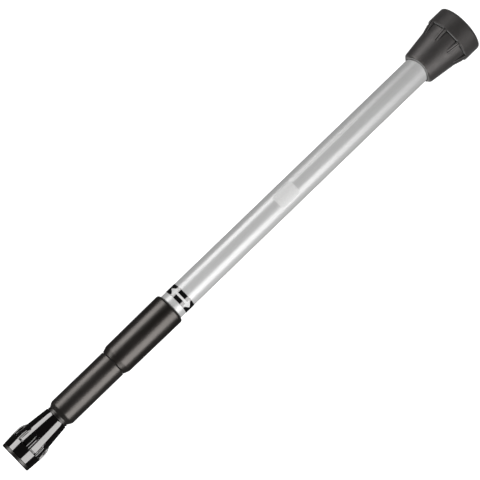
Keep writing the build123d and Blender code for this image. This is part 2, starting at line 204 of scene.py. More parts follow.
class Ribs:
    """Ribs spread evenly round the axis, with flat tops, rounded edges and steep sides."""

    WALL = 0.10  # how far a side leans out
    FOOT = 0.12  # how far the row outside a side stands off
    EDGE_STEPS = 6
    TOP_STEPS = 4
    GAP_STEPS = 12

    def __init__(self, count, width, edge, start, towards, first_angle=0.0, slot=(0.0, 0.0)):
        self.count, self.width, self.edge = count, width, edge
        self.first_angle = first_angle
        self.start, self.towards = start, towards
        self.slot_half, self.slot_depth = slot[0] / 2, slot[1]
        inner = [-self.WALL - self.FOOT, -self.WALL, -self.WALL / 2, 0.0]
        turns = [math.pi / 2 * s / self.EDGE_STEPS for s in range(1, self.EDGE_STEPS)]
        inner += [edge * (1 - math.cos(turn)) for turn in turns]
        flat = width / 2 - edge - self.slot_half
        inner += [edge + flat * s / self.TOP_STEPS for s in range(self.TOP_STEPS)]
        if self.slot_depth:
            inner += [edge + flat - 0.03, edge + flat, edge + flat + 0.05]
        half = [d - width / 2 for d in inner]
        self.across = half + [0.0] + [-t for t in reversed(half)]

    def columns(self, r):
        """(angle, distance across the rib or None between ribs) of each column at a radius."""
        result = []
        step = 2 * math.pi / self.count
        reach = math.asin(self.across[-1] / r)
        for number in range(self.count):
            middle = self.first_angle + number * step
            for t in self.across:
                result.append((middle + math.asin(t / r), t))
            for gap in range(1, self.GAP_STEPS):
                share = gap / self.GAP_STEPS
                result.append((middle + reach + (step - 2 * reach) * share, None))
        return result

    def rise(self, x, t, height):
        """How far a point has risen from the panel to the crest, 0 to 1. A slot sinks again."""
        if t is None or height < 1e-6:
            return 0.0
        if abs(t) < self.slot_half - 0.01:
            return max(1 - self.slot_depth / height, -0.1)
        ahead = max(0.0, self.width / 2 - (x - self.start) * self.towards)
        inside = self.width / 2 - math.hypot(t, ahead)
        edge = min(self.edge, height)
        if inside <= -self.WALL:
            return 0.0
        wall = (height - edge) / height
        if inside <= 0:
            return wall * (1 + inside / self.WALL)
        if inside >= edge:
            return 1.0
        return wall + math.sqrt(edge**2 - (edge - inside) ** 2) / height

    def ring(self, panel, crest=None):
        """A ring of points between the panel's and the crest's outline points."""
        panel = Vector(panel)
        crest = Vector(crest) if crest else panel
        height = (crest - panel).length
        points = []
        for angle, t in self.columns(panel.y):
            point = panel.lerp(crest, self.rise(crest.x, t, height))
            if t is not None and point.y > panel.y:
                middle = angle - math.asin(t / panel.y)
                angle = middle + math.asin(t / point.y)
            points.append((point.x, point.y * math.cos(angle), point.y * math.sin(angle)))
        return points


def arc_through(first, middle, last):
    """Centre and radius of the circle through three (x, r) points."""
    (ax, ay), (bx, by), (cx, cy) = first, middle, last
    d = 2 * (ax * (by - cy) + bx * (cy - ay) + cx * (ay - by))
    a, b, c = ax**2 + ay**2, bx**2 + by**2, cx**2 + cy**2
    ux = (a * (by - cy) + b * (cy - ay) + c * (ay - by)) / d
    uy = (a * (cx - bx) + b * (ax - cx) + c * (bx - ax)) / d
    return ux, uy, math.hypot(ax - ux, ay - uy)


def ramp_radius(x, arc, side):
    """The radius at a station of a ramp that follows an arc. side is which half of the circle."""
    ux, uy, radius = arc
    return uy + side * math.sqrt(max(radius**2 - (x - ux) ** 2, 0))


def between(low, high, count):
    """Evenly spaced values from low up to, not including, high."""
    return [low + (high - low) * step / count for step in range(count)]


# ------------------------------------------------------------------ rubber boot

boot_back, boot_front, boot_r = stations("rubber_boot")
tube_back, tube_front, tube_r = stations("outer_tube")
cup_r = stations("magnet_cup")[2]

BOOT_RIBS = Ribs(
    8,
    width=2.6,
    edge=0.45,
    start=-23.6,
    towards=1,
    first_angle=math.pi / 8,
    slot=(0.7, 0.45),
)
BOOT_ROUND = 1.7
SHOULDER_X = -13.7
SHOULDER_R = 16.25
SHOULDER_EDGE = 0.45
GROOVE_WIDTH, GROOVE_DEPTH = 0.9, 0.6
MOUTH_EDGE = (-41.55, 12.6)
MOUTH_LIP_R = 10.5
SCALLOP_X = -41.1
SCALLOP_R = 24.0
MOUTH_ROUND = 0.45
TIP_HIGHLIGHT_X = -42.3  # where the painted highlight on the mouth's tips begins
RIB_FOOT = (-23.7, 15.2)
RIB_MIDDLE = (-18.8, 16.7)
RIB_CREST_X = -14.7


def boot_mouth_x(x, r, y):
    """Where the mouth's end face lies: a slope at the sides, scooped out above and below."""
    slope = (boot_back - MOUTH_EDGE[0]) / (MOUTH_EDGE[1] - MOUTH_LIP_R)
    sloped = max(boot_back, MOUTH_EDGE[0] + slope * (MOUTH_EDGE[1] - r))
    scooped = SCALLOP_X - (SCALLOP_R - math.sqrt(SCALLOP_R**2 - y**2))
    return x + max(sloped, scooped) - MOUTH_EDGE[0]


def make_boot():
    """The boot's ribbed skin, its scooped mouth, and the pocket that holds tube and magnet."""
    cone_slope = (SHOULDER_R - MOUTH_EDGE[1]) / (SHOULDER_X - MOUTH_EDGE[0])
    arc = arc_through(RIB_FOOT, RIB_MIDDLE, (RIB_CREST_X, boot_r))
    side = 1 if RIB_MIDDLE[1] > arc[1] else -1

    def cone_r(x):
        return MOUTH_EDGE[1] + cone_slope * (x - MOUTH_EDGE[0])

    def crest_r(x):
        if x <= RIB_FOOT[0]:
            return cone_r(x)
        if x >= RIB_CREST_X:
            return boot_r
        return max(cone_r(x), ramp_radius(x, arc, side))

    rings = []
    # The mouth, from the tube out to the edge
    for r in between(tube_r, MOUTH_EDGE[1] - MOUTH_ROUND, 9):
        ring = BOOT_RIBS.ring((MOUTH_EDGE[0], r))
        rings.append([(boot_mouth_x(x, r, y), y, z) for x, y, z in ring])
    for step in range(ROUND_STEPS + 1):
        turn = math.pi / 2 * step / ROUND_STEPS
        x = MOUTH_EDGE[0] + MOUTH_ROUND * (1 - math.cos(turn))
        r = cone_r(x) - MOUTH_ROUND * (1 - math.sin(turn))
        ring = BOOT_RIBS.ring((x, r))
        rings.append([(boot_mouth_x(x, r, y), y, z) for x, y, z in ring])
    # The cone and the ramps of the ribs
    first = MOUTH_EDGE[0] + MOUTH_ROUND + SUPPORT
    for x in between(first, RIB_FOOT[0], 14) + between(RIB_FOOT[0], RIB_CREST_X, 34):
        rings.append(BOOT_RIBS.ring((x, cone_r(x)), (x, crest_r(x))))
    # The groove at the shoulder's foot, which the ribs bridge, and the shoulder's wall
    groove_x = SHOULDER_X - GROOVE_WIDTH
    groove_r = cone_r(groove_x) - GROOVE_DEPTH
    profile = [
        (RIB_CREST_X, cone_r(RIB_CREST_X)),
        (groove_x - 0.12, cone_r(groove_x)),
        (groove_x - 0.03, cone_r(groove_x) - 0.05),
        (groove_x, groove_r + 0.4),
        (groove_x + 0.02, groove_r + 0.05),
        (groove_x + 0.1, groove_r),
        (SHOULDER_X - 0.15, groove_r),
        (SHOULDER_X - 0.04, groove_r + 0.05),
        (SHOULDER_X - 0.02, groove_r + 0.5),
        (SHOULDER_X - 0.01, boot_r - SHOULDER_EDGE - 0.1),
    ]
    for number, panel in enumerate(profile):
        crest_x = RIB_CREST_X + (SHOULDER_X - RIB_CREST_X) * number / len(profile)
        rings.append(BOOT_RIBS.ring(panel, (crest_x, boot_r)))
    for step in range(ROUND_STEPS + 1):
        turn = math.pi / 2 * step / ROUND_STEPS
        x = SHOULDER_X + SHOULDER_EDGE * (1 - math.cos(turn))
        r = boot_r - SHOULDER_EDGE * (1 - math.sin(turn))
        crest_x = SHOULDER_X + SHOULDER_EDGE * step / ROUND_STEPS
        rings.append(BOOT_RIBS.ring((x, r), (crest_x, boot_r)))
    # The rim, its front and the pocket inside
    inside = rounded(
        [
            (SHOULDER_X + SHOULDER_EDGE + SUPPORT, boot_r),
            (boot_front, boot_r, BOOT_ROUND),
            (boot_front, cup_r, 0.25),
            (tube_front, cup_r),
            (tube_front, tube_r),
            (boot_mouth_x(MOUTH_EDGE[0], tube_r, 0) + 1.0, tube_r),
        ],
        closed=False,
    )
    rings += [BOOT_RIBS.ring(point) for point in inside]
    return skin("boot_skin", rings)


# ------------------------------------------------------------------ tubes, band and grips

inner_back, inner_front, inner_r = stations("inner_tube")
band_back, band_front, band_r = stations("arrow_band")
grip_back, grip_front, grip_r = stations("upper_grip")
handle_back, handle_front, handle_r = stations("lower_grip")

TUBE_WALL = 1.245
INNER_WALL = 1.0
PRINT = 0.02  # how thick an ink film is
LABEL_X = (-177.5, -160.5)
LABEL_ANGLES = (math.radians(52), math.radians(118))
LABEL_CORNER = 2.0
LABEL_STEPS = 40
PINSTRIPE_X = (-157.5, -98.0)
PINSTRIPES = (("pinstripe_wide", 66, 0.9), ("pinstripe_thin", 58, 0.5))  # name, degrees, width
ARROW_STEPS = 32
ARROW_TURNS = (math.radians(30), math.radians(62))  # where a head starts, and its tip
ARROW_HALVES = (0.8, 3.1)  # half the width of the shaft and of a head
GRIP_END_R = 9.85
GRIP_BACK_R = 11.28
HANDLE_END_R = 8.25


def make_outer_tube():
    """The silver outer tube, with its ends lightly broken."""
    return lathe(
        "outer_tube_shell",
        rounded(
            [
                (tube_back, tube_r, 0.2),
                (tube_front, tube_r, 0.3),
                (tube_front, tube_r - TUBE_WALL, 0.2),
                (tube_back, tube_r - TUBE_WALL, 0.2),
            ]
        ),
    )


def make_band():
    """The printed band, its edges rounded off like thick ink."""
    return lathe(
        "band_print",
        rounded(
            [
                (band_back, tube_r),
                (band_back, band_r, 0.08),
                (band_front, band_r, 0.08),
                (band_front, tube_r),
            ]
        ),
    )


def make_arrow(name, middle):
    """A double-headed arrow printed round the band: turn either way."""
    centre = (band_back + band_front) / 2
    head_start, tip = ARROW_TURNS
    shaft, head = ARROW_HALVES
    stretches = []
    for step in range(-ARROW_STEPS, ARROW_STEPS + 1):
        turn = tip * step / ARROW_STEPS
        width = shaft
        if abs(turn) > head_start:
            width = max(head * (tip - abs(turn)) / (tip - head_start), 0.02)
        stretches.append((turn, width))
    stretches += [(-head_start, shaft), (-head_start - 1e-3, head)]
    stretches += [(head_start, shaft), (head_start + 1e-3, head)]
    ordered = [(middle + turn, centre - w, centre + w) for turn, w in sorted(stretches)]
    return patch(name, ordered, band_r, PRINT)


def make_label():
    """A plain pale label, with round corners and nothing on it."""
    low, high = LABEL_X
    start, end = LABEL_ANGLES
    stretches = []
    for step in range(LABEL_STEPS + 1):
        angle = start + (end - start) * step / LABEL_STEPS
        edge = min(angle - start, end - angle) * tube_r
        inset = 0.0
        if edge < LABEL_CORNER:
            inset = LABEL_CORNER - math.sqrt(LABEL_CORNER**2 - (LABEL_CORNER - edge) ** 2)
        stretches.append((angle, low + inset, high - inset))
    return patch("blank_label", stretches, tube_r, PRINT)


def make_pinstripe(name, middle, width):
    """A plain painted line along the tube."""
    half = width / 2 / tube_r
    low, high = PINSTRIPE_X
    stretches = [(middle + half * side / 4, low, high) for side in range(-4, 5)]
    return patch(name, stretches, tube_r, PRINT)


def make_upper_grip():
    """The wide grip on the outer tube."""
    taper = 4.0
    return lathe(
        "upper_grip_sleeve",
        rounded(
            [
                (grip_back, tube_r),
                (grip_back, GRIP_END_R, 0.3),
                (grip_back + taper, GRIP_BACK_R, 3.0),
                (grip_front, grip_r, 2.1),
                (grip_front, tube_r + 0.15, 0.25),
                (grip_front - 1.0, tube_r),
            ]
        ),
        segments=FINE_SEGMENTS,
    )


def make_lower_grip():
    """The narrower grip on the inner tube."""
    taper = 3.0
    return lathe(
        "lower_grip_sleeve",
        rounded(
            [
                (handle_back, inner_r),
                (handle_back, HANDLE_END_R, 0.2),
                (handle_back + taper, handle_r, 3.0),
                (handle_front, handle_r, 0.45),
                (handle_front, inner_r),
            ]
        ),
        segments=FINE_SEGMENTS,
    )


def make_inner_tube():
    """The inner tube, with the groove that its guide ring sits in."""
    ring_back, ring_front, _ = stations("guide_ring")
    groove_r = inner_r - 0.4
    bore = inner_r - INNER_WALL
    return lathe(
        "inner_tube_shell",
        rounded(
            [
                (inner_back, inner_r, 0.2),
                (ring_back, inner_r),
                (ring_back, groove_r),
                (ring_front, groove_r),
                (ring_front, inner_r),
                (inner_front, inner_r, 0.2),
                (inner_front, bore),
                (inner_back, bore),
            ]
        ),
    )


# ------------------------------------------------------------------ knob

knob_back, knob_front, _ = stations("knob_body")
cap_back, cap_front, cap_r = stations("knob_cap")
collar_back, collar_front, collar_r = stations("collar_ring")

KNOB_RIBS = Ribs(8, width=2.6, edge=0.8, start=-396.8, towards=-1, first_angle=math.radians(93.5))
KNOB_GROOVE = (1.0, 0.6)  # width, depth
NECK_R = 8.6
WAIST = (-399.8, 10.65)
KNOB_SHOULDER_X = -407.25
KNOB_PANEL_R = 11.38
KNOB_END_R = 11.68
KNOB_RIM_R = 12.2
KNOB_EDGE = 0.4
KNOB_CREST = (-403.2, 12.3)  # just proud of the rim
KNOB_RIB_MIDDLE = (-399.6, 11.75)
KNOB_RIB_FOOT = (-396.8, 10.3)
WELL_R = 9.9
WEB = (-407.0, -404.0)
SCREW_HOLE_R = 2.7


def make_knob():
    """The knob: a waisted cone with short ribs, a smooth rim, a bore and a well for its screw."""
    arc = arc_through(KNOB_RIB_FOOT, KNOB_RIB_MIDDLE, KNOB_CREST)
    side = 1 if KNOB_RIB_MIDDLE[1] > arc[1] else -1

    def panel_r(x):
        if x >= WAIST[0]:
            return NECK_R + (WAIST[1] - NECK_R) * (knob_front - x) / (knob_front - WAIST[0])
        share = (WAIST[0] - x) / (WAIST[0] - KNOB_SHOULDER_X)
        return WAIST[1] + (KNOB_PANEL_R - WAIST[1]) * share

    def crest_r(x):
        if x >= KNOB_RIB_FOOT[0]:
            return panel_r(x)
        if x <= KNOB_CREST[0]:
            return KNOB_CREST[1]
        return max(panel_r(x), ramp_radius(x, arc, side))

    rings = []
    # The neck's face and rounded edge
    for step in range(ROUND_STEPS + 1):
        turn = math.pi / 2 * step / ROUND_STEPS
        x = knob_front - KNOB_EDGE * (1 - math.cos(turn))
        r = NECK_R - KNOB_EDGE * (1 - math.sin(turn))
        rings.append(KNOB_RIBS.ring((x, r)))
    # The cone, the waist and the ramps of the ribs
    cone_start = knob_front - KNOB_EDGE - SUPPORT
    stops = between(cone_start, KNOB_RIB_FOOT[0], 8) + between(KNOB_RIB_FOOT[0], KNOB_CREST[0], 34)
    groove_x = KNOB_SHOULDER_X + KNOB_GROOVE[0]
    groove_r = panel_r(groove_x) - KNOB_GROOVE[1]
    stops += between(KNOB_CREST[0], groove_x + 0.2, 5)
    rings += [KNOB_RIBS.ring((x, panel_r(x)), (x, crest_r(x))) for x in stops]
    # The groove at the rim's foot, which the ribs bridge, and the rim's wall
    profile = [
        (groove_x + 0.18, panel_r(groove_x)),
        (groove_x + 0.05, panel_r(groove_x) - 0.05),
        (groove_x, panel_r(groove_x) - 0.18),
        (groove_x - 0.02, groove_r + 0.05),
        (groove_x - 0.1, groove_r),
        (KNOB_SHOULDER_X + 0.15, groove_r),
        (KNOB_SHOULDER_X + 0.04, groove_r + 0.05),
        (KNOB_SHOULDER_X + 0.02, groove_r + 0.5),
        (KNOB_SHOULDER_X + 0.01, KNOB_RIM_R - KNOB_EDGE - 0.1),
    ]
    first_x = groove_x + 0.18
    for number, panel in enumerate(profile):
        crest_x = first_x + (KNOB_SHOULDER_X - first_x) * number / len(profile)
        rings.append(KNOB_RIBS.ring(panel, (crest_x, KNOB_CREST[1])))
    for step in range(ROUND_STEPS + 1):
        turn = math.pi / 2 * step / ROUND_STEPS
        x = KNOB_SHOULDER_X - KNOB_EDGE * (1 - math.cos(turn))
        r = KNOB_RIM_R - KNOB_EDGE * (1 - math.sin(turn))
        crest_x = KNOB_SHOULDER_X - KNOB_EDGE * step / ROUND_STEPS
        rings.append(KNOB_RIBS.ring((x, r), (crest_x, max(r, KNOB_CREST[1]))))
    # The rim, the seat of the cap, the well, the web and the bore
    bezel = knob_back
    slope = (KNOB_RIM_R - KNOB_END_R) / (KNOB_SHOULDER_X - cap_back)
    inside = rounded(
        [
            (KNOB_SHOULDER_X - KNOB_EDGE - SUPPORT, KNOB_RIM_R - slope * KNOB_EDGE),
            (bezel, KNOB_END_R + slope * (bezel - cap_back), 0.2),
            (bezel, WELL_R, 0.2),
            (WEB[0], WELL_R),
            (WEB[0], SCREW_HOLE_R),
            (WEB[1], SCREW_HOLE_R),
            (WEB[1], inner_r),
            (knob_front, inner_r, 0.3),
            (knob_front, NECK_R - KNOB_EDGE - SUPPORT),
        ],
        closed=False,
    )
    rings += [KNOB_RIBS.ring(point) for point in inside]
    return skin("knob_shell", rings)


def make_cap():
    """The press-in cap: its lip continues the rim, and its face is dished."""
    bezel_front = knob_back
    return lathe(
        "knob_end_cap",
        rounded(
            [
                (cap_front, 9.8, 0.2),
                (bezel_front, 9.8),
                (bezel_front, cap_r, 0.25),
                (cap_back, KNOB_END_R, 0.8),
                (cap_back, 9.5, 0.3),
                (cap_back + 0.8, 9.0, 0.6),
                (cap_back + 0.8, 0),
                (bezel_front, 0),
                (bezel_front, 8.3, 0.3),
                (cap_front, 8.3, 0.2),
            ],
        ),
        segments=FINE_SEGMENTS,
    )


def make_collar():
    """The thin sleeve between the narrow grip and the knob, with a bead round its middle."""
    sleeve_r, bead_back, bead_front = 8.05, collar_back + 0.7, collar_front - 0.8
    return lathe(
        "collar_trim",
        rounded(
            [
                (collar_back, inner_r),
                (collar_back, sleeve_r),
                (bead_back, sleeve_r),
                (bead_back, collar_r, 0.15),
                (bead_front, collar_r, 0.25),
                (bead_front, sleeve_r),
                (collar_front, sleeve_r),
                (collar_front, inner_r),
            ]
        ),
    )


# ------------------------------------------------------------------ magnet head

magnet_back, magnet_front, magnet_r = stations("magnet_disc")
cup_back, cup_front, _ = stations("magnet_cup")


def make_magnet():
    """The nickel-plated magnet, with a broken edge."""
    return lathe(
        "magnet_face_disc",
        rounded(
            [
                (magnet_back, 0),
                (magnet_back, magnet_r, 0.2),
                (magnet_front, magnet_r, 0.5),
                (magnet_front, 0),
            ],
            closed=False,
        ),
        closed=False,
    )


def make_cup():
    """The steel pot around the magnet."""
    wall = 1.8
    return lathe(
        "magnet_pot",
        rounded(
            [
                (cup_back, 2.0),
                (cup_back, cup_r, 1.2),
                (cup_front, cup_r, 0.35),
                (cup_front, cup_r - wall, 0.25),
                (magnet_back, cup_r - wall),
                (magnet_back, 2.0),
            ]
        ),
    )


def make_spacer():
    """The brass ring between the magnet and the pot's wall, turned with two fine steps."""
    back, front, outer = stations("spacer_ring")
    middle = (outer + magnet_r) / 2
    return lathe(
        "spacer_trim",
        rounded(
            [
                (back, magnet_r),
                (back, outer),
                (front - 0.1, outer, 0.05),
                (front, middle + 0.1, 0.05),
                (front, middle - 0.1, 0.05),
                (front - 0.1, magnet_r, 0.05),
            ]
        ),
    )


# ------------------------------------------------------------------ materials


BLEND_SPAN = (0.35, 0.65)  # the middle range of a noise that blends two colours
EDGE_SPAN = (0.51, 0.6)  # pointiness from flat to a sharp edge
HOLLOW_SHADE_SPAN = (0.5, 0.92)  # for the painted shade in grooves: how much open sky a groove sees, and an open face
HOLLOW_SHADE_LEVEL = 0.04  # how much of its colour a deep groove keeps under the painted shade


class Shader:
    """A Principled material with the few node chains that every finish here shares."""

    def __init__(self, name, color, roughness, metallic=0.0, **values):
        self.material = bpy.data.materials.new(name)
        self.material.use_nodes = True
        self.tree = self.material.node_tree
        self.base = self.tree.nodes["Principled BSDF"]
        self.base.inputs["Base Color"].default_value = (*color, 1)
        self.base.inputs["Roughness"].default_value = roughness
        self.base.inputs["Metallic"].default_value = metallic
        for label, value in values.items():
            self.base.inputs[label.replace("_", " ")].default_value = value
        self.material.diffuse_color = (*color, 1)
        self.color, self.roughness = color, roughness
        self.place = self.node("ShaderNodeTexCoord").outputs["Object"]
        self.height = None

    def node(self, kind, **settings):
        made = self.tree.nodes.new(kind)
        for label, value in settings.items():
            setattr(made, label, value)
        return made

    def link(self, source, target):
        self.tree.links.new(source, target)

    def stretched(self, scale):
        """Object coordinates in millimetres, scaled along each axis."""
        mapping = self.node("ShaderNodeMapping")
        mapping.inputs["Scale"].default_value = [1000 * s for s in scale]
        self.link(self.place, mapping.inputs["Vector"])
        return mapping.outputs["Vector"]

    def noise(self, scale, detail=4.0, roughness=0.55):
        """Noise with features about 1 / scale millimetres apart along each axis."""
        noise = self.node("ShaderNodeTexNoise")
        noise.inputs["Scale"].default_value = 1.0
        noise.inputs["Detail"].default_value = detail
        noise.inputs["Roughness"].default_value = roughness
        self.link(self.stretched(scale), noise.inputs["Vector"])
        return noise.outputs["Fac"]

    def span(self, value, low, high, start=0.3, end=0.7):
        """Maps a texture's middle range onto low to high."""
        span = self.node("ShaderNodeMapRange", clamp=True)
        labels = ("From Min", "From Max", "To Min", "To Max")
        for label, number in zip(labels, (start, end, low, high)):
            span.inputs[label].default_value = number
        self.link(value, span.inputs["Value"])
        return span.outputs["Result"]

    def vary_roughness(self, texture, amount):
        """Spreads the roughness by amount either way."""
        spread = self.span(texture, self.roughness - amount, self.roughness + amount)
        self.link(spread, self.base.inputs["Roughness"])

    def vary_color(self, texture, other):
        """Blends the base colour with another by a texture."""
        mix = self.node("ShaderNodeMix", data_type="RGBA")
        mix.inputs["A"].default_value = (*self.color, 1)
        mix.inputs["B"].default_value = (*other, 1)
        self.link(self.span(texture, 0, 1, *BLEND_SPAN), mix.inputs["Factor"])
        self.link(mix.outputs["Result"], self.base.inputs["Base Color"])

    def edge_wear_and_highlight(self, other, strength=0.5):
        """Blends another colour in along convex edges, broken up by noise: wear on the metal
        pieces, and a painted highlight on the boot's edges.
        """
        pointiness = self.node("ShaderNodeNewGeometry").outputs["Pointiness"]
        edge = self.span(pointiness, 0, strength, *EDGE_SPAN)
        broken = self.node("ShaderNodeMath", operation="MULTIPLY")
        self.link(edge, broken.inputs[0])
        self.link(self.span(self.noise((0.6, 0.6, 0.6)), 0, 1), broken.inputs[1])
        mix = self.node("ShaderNodeMix", data_type="RGBA")
        mix.inputs["B"].default_value = (*other, 1)
        color = self.base.inputs["Base Color"]
        if color.is_linked:
            self.link(color.links[0].from_socket, mix.inputs["A"])
        else:
            mix.inputs["A"].default_value = (*self.color, 1)
        self.link(broken.outputs["Value"], mix.inputs["Factor"])
        self.link(mix.outputs["Result"], color)

    def paint_hollow_shade(self, reach):
        """Paints shade into grooves narrower than reach millimetres, taking out their shine and
        colour by ambient occlusion.
        """
        open_sky = self.node("ShaderNodeAmbientOcclusion", samples=8, only_local=False)
        open_sky.inputs["Distance"].default_value = reach * MM
        clear = self.span(open_sky.outputs["AO"], 0, 1, *HOLLOW_SHADE_SPAN)
        shine = self.node("ShaderNodeMath", operation="MULTIPLY")
        self.link(clear, shine.inputs[0])
        shine.inputs[1].default_value = self.base.inputs["Specular IOR Level"].default_value
        self.link(shine.outputs["Value"], self.base.inputs["Specular IOR Level"])
        if self.base.inputs["Coat Weight"].default_value:
            self.link(clear, self.base.inputs["Coat Weight"])
        mix = self.node("ShaderNodeMix", data_type="RGBA")
        mix.inputs["A"].default_value = (*(HOLLOW_SHADE_LEVEL * c for c in self.color), 1)
        self.link(self.base.inputs["Base Color"].links[0].from_socket, mix.inputs["B"])
        self.link(clear, mix.inputs["Factor"])
        self.link(mix.outputs["Result"], self.base.inputs["Base Color"])

    def paint_tip_highlight(self, other, start, end):
        """Paints a highlight: pales the surface towards the end of a piece, between two stations
        on the tool.
        """
        parts = self.node("ShaderNodeSeparateXYZ")
        self.link(self.stretched((1, 1, 1)), parts.inputs["Vector"])
        mix = self.node("ShaderNodeMix", data_type="RGBA")
        self.link(self.base.inputs["Base Color"].links[0].from_socket, mix.inputs["A"])
        mix.inputs["B"].default_value = (*other, 1)
        self.link(self.span(parts.outputs["X"], 1, 0, end, start), mix.inputs["Factor"])
        self.link(mix.outputs["Result"], self.base.inputs["Base Color"])

    def bump(self, texture, depth):
        """Adds relief, with depth in millimetres."""
        bump = self.node("ShaderNodeBump")
        bump.inputs["Strength"].default_value = 1.0
        bump.inputs["Distance"].default_value = depth * MM
        self.link(texture, bump.inputs["Height"])
        if self.height:
            self.link(self.height, bump.inputs["Normal"])
        self.height = bump.outputs["Normal"]
        self.link(self.height, self.base.inputs["Normal"])


WARM_SHINE = {"Specular_IOR_Level": 1.0, "Specular_Tint": (1.0, 0.95, 0.93, 1)}
WARMER_SHINE = {"Specular_IOR_Level": 1.0, "Specular_Tint": (1.0, 0.93, 0.88, 1)}
SATIN_SHINE = {"Specular_IOR_Level": 1.0, "Specular_Tint": (1.0, 0.96, 0.93, 1)}


def anodised(name, color):
    """Satin anodised tube, drawn lengthwise."""
    look = Shader(name, color, roughness=0.33, metallic=0.2)
    streaks = look.noise((0.01, 2.2, 2.2), detail=6, roughness=0.7)
    cloud = look.noise((0.03, 0.12, 0.12), detail=3)
    look.vary_roughness(cloud, 0.03)
    look.vary_color(streaks, tuple(c * 0.94 for c in color))
    # painted shade: colour and shine taken out of the tube's grooves
    look.paint_hollow_shade(0.8)
    look.bump(streaks, 0.004)
    look.bump(look.noise((6, 6, 6), detail=2), 0.002)
    return look.material


def turned(name, color, roughness=0.3):
    """Plated or bare metal with the fine rings that a lathe leaves."""
    look = Shader(name, color, roughness=roughness, metallic=1.0)
    rings = look.noise((9, 0.25, 0.25), detail=5, roughness=0.6)
    stains = look.noise((0.25, 0.25, 0.25), detail=5)
    look.vary_roughness(stains, 0.07)
    look.vary_color(stains, tuple(c * 0.82 for c in color))
    look.edge_wear_and_highlight(tuple(min(1, c * 1.25) for c in color))
    look.bump(rings, 0.006)
    return look.material


def ground_face(name, color, roughness=0.16):
    """A ground and plated face: crossing hair scratches over a faint haze."""
    look = Shader(name, color, roughness=roughness, metallic=1.0)
    look.vary_roughness(look.noise((0.2, 0.2, 0.2), detail=6), 0.06)
    look.vary_color(look.noise((0.1, 0.35, 0.35), detail=5), tuple(c * 0.88 for c in color))
    look.bump(look.noise((0.5, 0.15, 7), detail=4, roughness=0.7), 0.004)
    look.bump(look.noise((0.5, 6, 0.2), detail=4, roughness=0.7), 0.003)
    return look.material


def boot_rubber(name, color):
    """Moulded rubber: a fine spark-eroded grain, painted shade in its grooves, and painted
    highlights that make its edges and mouth tips paler.
    """
    look = Shader(name, color, roughness=0.46, **WARM_SHINE)
    look.base.inputs["Sheen Weight"].default_value = 0.6
    look.base.inputs["Sheen Roughness"].default_value = 0.5
    look.vary_roughness(look.noise((0.15, 0.15, 0.15), detail=4), 0.05)
    look.vary_color(look.noise((0.12, 0.12, 0.12), detail=6), tuple(c * 1.3 for c in color))
    # painted highlight: rib and rim edges much paler than the rubber
    look.edge_wear_and_highlight(tuple(c * 7.0 for c in color), strength=1.0)
    # painted highlight: the mouth's tips paler towards the boot's end
    look.paint_tip_highlight((0.30, 0.29, 0.28), TIP_HIGHLIGHT_X, boot_back)
    # painted shade: colour and shine taken out of the boot's grooves
    look.paint_hollow_shade(1.2)
    look.bump(look.noise((3.2, 3.2, 3.2), detail=5, roughness=0.6), 0.035)
    return look.material


def grip_rubber(name, color):
    """Soft-touch grip: a dense fine grain with slight handling shine."""
    look = Shader(name, color, roughness=0.33, **WARMER_SHINE)
    look.base.inputs["Sheen Weight"].default_value = 0.22
    look.base.inputs["Sheen Roughness"].default_value = 0.45
    look.vary_roughness(look.noise((0.04, 0.16, 0.16), detail=5), 0.05)
    look.vary_color(look.noise((0.08, 0.2, 0.2), detail=6), tuple(c * 1.5 for c in color))
    look.bump(look.noise((4.5, 4.5, 4.5), detail=4, roughness=0.65), 0.03)
    return look.material


def gloss_plastic(name, color, roughness=0.07):
    """Polished black moulding with faint hazing and hair scratches."""
    look = Shader(name, color, roughness=roughness, **WARM_SHINE)
    look.base.inputs["Coat Weight"].default_value = 1.0
    look.base.inputs["Coat Roughness"].default_value = 0.03
    look.base.inputs["Coat IOR"].default_value = 1.75
    look.vary_roughness(look.noise((0.3, 0.3, 0.3), detail=6), 0.03)
    look.vary_color(look.noise((0.15, 0.15, 0.15), detail=4), tuple(c * 1.6 for c in color))
    # painted shade: colour and shine taken out of the knob's grooves
    look.paint_hollow_shade(0.9)
    look.bump(look.noise((0.12, 1.6, 1.6), detail=3), 0.003)
    return look.material


def satin_black(name, color):
    """A satin black moulding, for the knob's end cap and the collar."""
    look = Shader(name, color, roughness=0.34, **SATIN_SHINE)
    look.vary_roughness(look.noise((0.3, 0.3, 0.3), detail=6), 0.05)
    look.vary_color(look.noise((0.2, 0.2, 0.2), detail=4), tuple(c * 1.6 for c in color))
    look.bump(look.noise((4, 4, 4), detail=4), 0.01)
    return look.material


def satin_plastic(name, color, roughness=0.42):
    """Acetal or nylon with a moulded texture."""
    look = Shader(name, color, roughness=roughness, Specular_IOR_Level=0.45)
    look.vary_roughness(look.noise((0.3, 0.3, 0.3), detail=5), 0.06)
    look.vary_color(look.noise((0.2, 0.2, 0.2), detail=5), tuple(c * 0.88 for c in color))
    look.bump(look.noise((4, 4, 4), detail=4), 0.012)
    return look.material


def ink(name, color, roughness):
    """Screen-printed ink: a little orange peel, thinner in places."""
    look = Shader(name, color, roughness=roughness, Specular_IOR_Level=0.5)
    look.vary_roughness(look.noise((0.4, 0.4, 0.4), detail=4), 0.03)
    look.vary_color(look.noise((1.1, 1.1, 1.1), detail=5), tuple(c * 0.93 for c in color))
    look.bump(look.noise((2.4, 2.4, 2.4), detail=3), 0.002)
    return look.material


